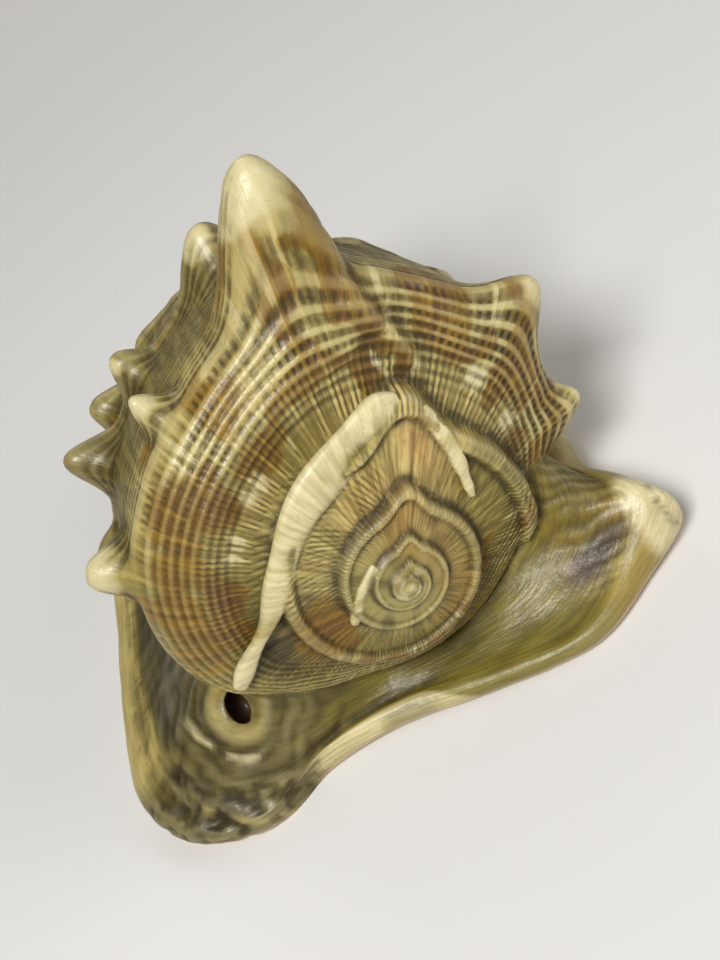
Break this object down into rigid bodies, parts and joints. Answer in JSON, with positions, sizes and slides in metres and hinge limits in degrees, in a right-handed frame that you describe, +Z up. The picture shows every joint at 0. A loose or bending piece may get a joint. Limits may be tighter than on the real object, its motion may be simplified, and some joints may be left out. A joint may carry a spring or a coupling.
{
  "type": "helmet shell",
  "caption": "King helmet sea shell lying on its mouth, with a tall horn, rows of knobs, a thick outer lip and a broad parietal shield.",
  "frame": {"origin": "under the middle of the shell's box, on the plane that it rests on", "axes": "+Z up through the horn, +Y along the shell from the spire to the siphonal canal, +X towards the outer lip"},
  "size_m": [0.153, 0.1918, 0.1234],
  "materials": {
    "shell": "gloss"
  },
  "bodies": {
    "root": {"shell": "shell"}
  },
  "joints": []
}
